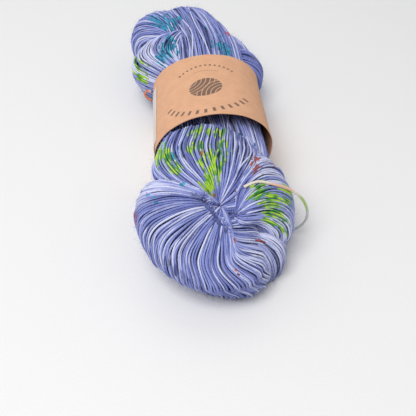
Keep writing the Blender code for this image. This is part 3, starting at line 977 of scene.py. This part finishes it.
def build_band():
    """The paper band, glued where its end laps over its start underneath."""
    angles = np.linspace(SEAM_START, SEAM_START + 360 + SEAM_OVERLAP, BAND_STEPS)
    shares = np.linspace(0, 1, BAND_COLUMNS)
    before_lap = SEAM_START + 360 - angles
    rise = smoothstep(0, 1, 1 - before_lap / SEAM_RAMP)
    seam = ((PAPER + PAPER_LAYER_GAP) * rise - PAPER)[:, None]
    edge = np.abs(shares - 0.5)[None] * 2
    a = np.radians(angles)[:, None]
    from_seam = np.minimum(angles - angles[0], angles[-1] - angles)
    free = smoothstep(*FREE_FROM_SEAM, from_seam)[:, None]
    curl = CURL * edge**6 * (1 + 0.6 * np.sin(3 * a + 0.7)) * free
    ripple = RIPPLE * np.sin(5 * a + 2.5 * edge) * np.cos(9 * a + 4 * shares[None]) * free
    band = paper_sheet("label_paper", angles, shares, seam + curl + ripple, PAPER)
    place_piece(band, "label_band")
    flat = ((FAR_EDGE.y - NEAR_EDGE.y) * CM, round_the_band(band))
    paper_material(band)


def round_the_band(sheet):
    """How far a sheet of paper reaches round the band, in metres, laid flat."""
    values = np.empty(len(sheet.data.vertices) * 3, np.float32)
    sheet.data.attributes["label"].data.foreach_get("vector", values)
    return float(np.ptp(values[::3])) * CM


def build_sticker():
    """The small sticker on the band's left flank."""
    angles = np.linspace(STICKER_FROM, STICKER_TO, 30)
    half = STICKER_LENGTH / (FAR_EDGE.y - NEAR_EDGE.y) / 2
    shares = np.linspace(0.5 - half, 0.5 + half, 23)
    lift = STICKER_LIFT + RIPPLE * np.sin(np.radians(angles) * 7)[:, None]
    sticker = paper_sheet("label_seal", angles, shares, lift, STICKER_THICKNESS)
    place_piece(sticker, "label_sticker")
    flat = (round_the_band(sticker), STICKER_LENGTH * CM)
    sticker_material(sticker)


# ---------------- tie and loose strand


def even_route(route, spacing):
    """Points in the frame about spacing apart along a smooth curve through the route."""
    fine = in_frame(smooth_rows(route, 12))
    lengths = np.concatenate([[0], np.cumsum(np.linalg.norm(np.diff(fine, axis=0), axis=1))])
    even = np.linspace(0, lengths[-1], math.ceil(lengths[-1] / spacing) + 1)
    return np.stack([np.interp(even, lengths, fine[:, axis]) for axis in range(3)], 1), even


def frames_along(points):
    """Two directions across a route at each of its points, turning as little as they can."""
    way = unit(np.gradient(points, axis=0))
    out = [unit(np.cross(way[0], (0.2, 0.1, 1.0)))]
    for step in way[1:]:
        out.append(unit(out[-1] - step * (out[-1] @ step)))
    out = np.array(out)
    return out, np.cross(way, out)


def build_loose_strand():
    """The end of yarn that strays out of the hank and turns back under it."""
    points, along = even_route(STRAND_ROUTE, 1.2 * MM)
    out, _ = frames_along(points)
    rng = np.random.default_rng(5)
    radii = STRAND_DIAMETER / 2 * (1 + 0.05 * waves(rng, 1, along / CM, 1.1)[0])
    dye = np.zeros((len(points), 4))
    obj = tube_mesh("loose_yarn", [Tube(points, out, radii, along, 0.5, dye)], 12)
    place_piece(obj, "loose_strand")
    loose_material(obj, along[-1])


def build_tie():
    """The tie: two plies of coral thread twisted together, in a loop that shows behind the band."""
    points, along = even_route(TIE_ROUTE, 0.5 * MM)
    out, across = frames_along(points)
    tubes = []
    for ply in (0, 1):
        turn = along / PLY_TWIST_LENGTH * TAU + ply * math.pi
        way_out = out * np.cos(turn)[:, None] + across * np.sin(turn)[:, None]
        middle = points + way_out * PLY_FROM_MIDDLE
        radii = np.full(len(points), PLY_RADIUS)
        dye = np.zeros((len(points), 4))
        tubes.append(Tube(middle, way_out, radii, along, 0.3 + 0.4 * ply, dye))
    tie = place_piece(tube_mesh("tie_thread", tubes, 10), "tie")
    tie_material(tie, along[-1])


# ---------------- materials


def fibre_detail(graph, strength):
    """Fine fibres that wind round the strand: bump on the shader, and the noise for its colour."""
    fibres = graph.noise(graph.attribute("fibre", "Vector"), 5200, 3)
    graph.bump(fibres, strength, 0.0003)
    return fibres


def yarn_shader(graph):
    graph.set("Roughness", 0.82)
    graph.set("Specular IOR Level", 0.25)
    graph.set("Sheen Weight", 0.15)
    graph.set("Sheen Roughness", 0.45)
    graph.set("Sheen Tint", (0.86, 0.89, 1.0, 1))


def yarn_material(name, *pieces):
    """Hand-dyed single-ply yarn: periwinkle in many depths, with lime, teal and red dye on it."""
    graph = Graph(name, *pieces)
    strand = graph.attribute("strand")
    along = graph.attribute("along")
    taken = graph.attribute("dye", "Color")
    pale = graph.attribute("dye", "Alpha")
    across = graph.times(strand, 71.0)

    def noise_along(per_metre, row, detail):
        """Noise along the strands, about so many features a metre; each row is another noise."""
        return graph.noise(graph.vector(across, graph.times(along, per_metre), row), 1.0, detail)

    slow = noise_along(38.0, 0.0, 1.5)
    quick = noise_along(210.0, 3.0, 2.0)
    flecks = noise_along(150.0, 6.0, 1.0)
    speck = noise_along(330.0, 9.0, 1.0)
    fibres = fibre_detail(graph, 0.55)

    # The blues: a strand's own depth of colour, paler along some of it and where it is marked so.
    depth = graph.plus(graph.times(slow, 0.60), graph.times(strand, 0.60))
    colour = graph.fade(depth, 0.32, 0.62, DEEP_BLUE, MID_BLUE)
    light = graph.plus(graph.times(graph.ramp(depth, 0.55, 0.85), 0.75), graph.times(pale, 0.95))
    light = graph.plus(light, graph.times(graph.minus(quick, 0.5), 0.7))
    colour = graph.fade(light, 0.05, 1.05, colour, PALE_BLUE)

    # The dyes, their edges roughened by each strand's own noise.
    for index, dye in enumerate(DYE_TONES.values()):
        amount = graph.node("ShaderNodeSeparateColor", {0: taken}, output=index)
        rough = graph.plus(amount, graph.times(graph.minus(quick, 0.5), 1.3))
        tone = graph.fade(flecks, 0.38, 0.60, dye.dark, dye.bright)
        colour = graph.fade(rough, dye.starts, dye.full, colour, tone)

    # Specks on some of the strands.
    tone = graph.mix(graph.math("GREATER_THAN", strand, 0.5), TEAL_SPECK, RED_SPECK)
    takes = graph.math("LESS_THAN", graph.math("FRACT", graph.times(strand, 37.0)), SPECK_SHARE)
    colour = graph.mix(graph.times(takes, graph.ramp(speck, 0.68, 0.72)), colour, tone)

    # Painted highlight on light fibres of the strand, and painted shade near the table and in the
    # layer below.
    colour = graph.mix(graph.times(graph.ramp(fibres, 0.35, 0.70), 0.12), colour, FIBRE_HIGHLIGHT_BLUE)
    # Painted shade: darker towards the table, from 2.6 cm above it down.
    under = graph.times(graph.ramp(graph.axis(graph.place(), 2), 0.026, 0.002), 0.45)
    # Painted shade on the inner layer of strands, seen between the outer ones.
    buried = graph.times(graph.attribute("depth"), 0.66)
    graph.colour(graph.mix(graph.math("MAXIMUM", under, buried), colour, SHADED_BLUE))
    yarn_shader(graph)


def core_material(core):
    """Yarn deep in the hank, seen only between strands."""
    graph = Graph("deep_yarn_painted_shade", core)
    grain = graph.noise(graph.place(), 700, 3)
    patches = graph.noise(graph.place(), 60, 2)
    dark = graph.fade(patches, 0.35, 0.65, (0.060, 0.075, 0.220), (0.100, 0.125, 0.330))
    graph.colour(graph.fade(grain, 0.45, 0.75, dark, (0.170, 0.200, 0.450)))
    graph.bump(grain, 0.8, 0.0006)
    yarn_shader(graph)


def loose_material(obj, length):
    """The same yarn where its dyes run from cream through coral to green and back to grey cream."""
    graph = Graph("loose_yarn", obj)
    share = graph.math("DIVIDE", graph.attribute("along"), float(length))
    fibres = fibre_detail(graph, 0.55)
    speckle = graph.noise(graph.vector(graph.times(share, 34.0), 4.0), 1.0, 3)
    share = graph.plus(share, graph.times(graph.minus(speckle, 0.5), 0.06))
    colour = (0.80, 0.72, 0.60)
    stops = [
        (0.16, 0.24, (0.80, 0.50, 0.36)),
        (0.36, 0.42, (0.82, 0.74, 0.62)),
        (0.44, 0.50, (0.42, 0.62, 0.16)),
        # Painted shade: the end that runs down under the hank turns grey.
        (0.60, 0.68, (0.62, 0.64, 0.58)),
    ]
    for low, high, tone in stops:
        colour = graph.fade(share, low, high, colour, tone)
    # Painted highlight: pale cream on the fibres.
    light = graph.times(graph.ramp(fibres, 0.4, 0.7), 0.25)
    graph.colour(graph.mix(light, colour, (0.9, 0.88, 0.84)))
    yarn_shader(graph)


def tie_material(obj, length):
    """Coral thread that pales at one end."""
    graph = Graph("tie_thread", obj)
    share = graph.math("DIVIDE", graph.attribute("along"), float(length))
    fibres = fibre_detail(graph, 0.6)
    coral = graph.fade(fibres, 0.35, 0.7, (0.78, 0.20, 0.10), (0.92, 0.36, 0.22))
    graph.colour(graph.fade(share, 0.20, 0.04, coral, (0.78, 0.66, 0.62)))
    yarn_shader(graph)


def paper_fibres(graph, label):
    """The fibres and flecks of uncoated paper, as two noises over the sheet."""
    fine = graph.noise(label, 34, 4)
    stretched = graph.node("ShaderNodeMapping", {"Vector": label, "Scale": (60.0, 9.0, 1.0)})
    return fine, graph.noise(stretched, 1.0, 2)


def dashes(graph, radius, angle, ring, width, count, duty, low, high):
    """A mask of dashes on an arc: ring and width in cm, low and high in degrees."""
    on_ring = graph.ramp(graph.apart(radius, ring), width, width * 0.6)
    turn = graph.math("FRACT", graph.times(angle, count / TAU))
    dash = graph.ramp(graph.apart(turn, 0.5), duty / 2, duty / 2 * 0.8)
    after = graph.math("GREATER_THAN", angle, math.radians(low))
    before = graph.math("LESS_THAN", angle, math.radians(high))
    return graph.times(graph.times(on_ring, dash), graph.times(after, before))


def ornament(graph, label):
    """A mask of the printed ornament: a ball of yarn inside three arcs of stitches."""
    x = graph.minus(graph.axis(label, 0), ORNAMENT[0])
    y = graph.minus(graph.axis(label, 1), ORNAMENT[1])
    radius = graph.distance(x, y)
    angle = graph.math("ARCTAN2", y, x)
    ball = graph.ramp(radius, BALL, BALL - 0.04)
    threads = None
    for wound_x, wound_y, side in ((-1.30, 0.95, 1), (1.35, -0.85, -1)):
        away = graph.distance(graph.minus(x, wound_x), graph.minus(y, wound_y))
        turn = graph.math("FRACT", graph.times(away, 3.4))
        line = graph.ramp(graph.apart(turn, 0.5), 0.13, 0.08)
        half = graph.math("GREATER_THAN", graph.times(graph.minus(y, x), side), -0.12)
        line = graph.times(line, half)
        threads = line if threads is None else graph.math("MAXIMUM", threads, line)
    mask = graph.times(ball, graph.minus(1.0, graph.times(threads, 0.85)))
    for arc in ARCS:
        mask = graph.math("MAXIMUM", mask, dashes(graph, radius, angle, *arc))
    return mask


def paper_material(band):
    """Uncoated kraft paper with a printed ornament on top."""
    graph = Graph("kraft_paper", band)
    label = graph.attribute("label", "Vector")
    fine, fibres = paper_fibres(graph, label)
    cloud = graph.noise(label, 1.3, 3)
    tone = graph.fade(cloud, 0.35, 0.65, (0.710, 0.388, 0.230), (0.760, 0.425, 0.258))
    tone = graph.mix(graph.times(graph.ramp(fine, 0.45, 0.75), 0.5), tone, (0.80, 0.50, 0.32))
    tone = graph.mix(graph.times(graph.ramp(fibres, 0.62, 0.74), 0.45), tone, (0.52, 0.28, 0.15))
    ink = graph.times(ornament(graph, label), graph.ramp(fine, 0.80, 0.45))
    graph.colour(graph.mix(graph.times(ink, 0.92), tone, INK))
    graph.set("Roughness", 0.78)
    graph.set("Specular IOR Level", 0.3)
    graph.bump(graph.plus(fine, graph.times(fibres, 0.5)), 0.25, 0.0002)


def sticker_material(sticker):
    """A smooth pale sticker with faint ruled lines."""
    graph = Graph("sticker_paper", sticker)
    label = graph.attribute("label", "Vector")
    fine, _ = paper_fibres(graph, label)
    row = graph.math("FRACT", graph.times(graph.axis(label, 0), 1.9))
    rule = graph.ramp(graph.apart(row, 0.5), 0.07, 0.04)
    inside = graph.math("LESS_THAN", graph.math("ABSOLUTE", graph.axis(label, 1)), 2.3)
    tone = graph.fade(fine, 0.35, 0.7, (0.70, 0.62, 0.58), (0.76, 0.69, 0.66))
    share = graph.times(graph.times(rule, inside), 0.4)
    graph.colour(graph.mix(share, tone, (0.40, 0.34, 0.33)))
    graph.set("Roughness", 0.42)
    graph.set("Coat Weight", 0.15)
    graph.set("Coat Roughness", 0.3)
    graph.bump(fine, 0.08, 0.0001)


# ---------------- the scene

add_camera()
build_loose_strand()
build_tie()
build_hank()
build_band()
build_sticker()
add_studio()
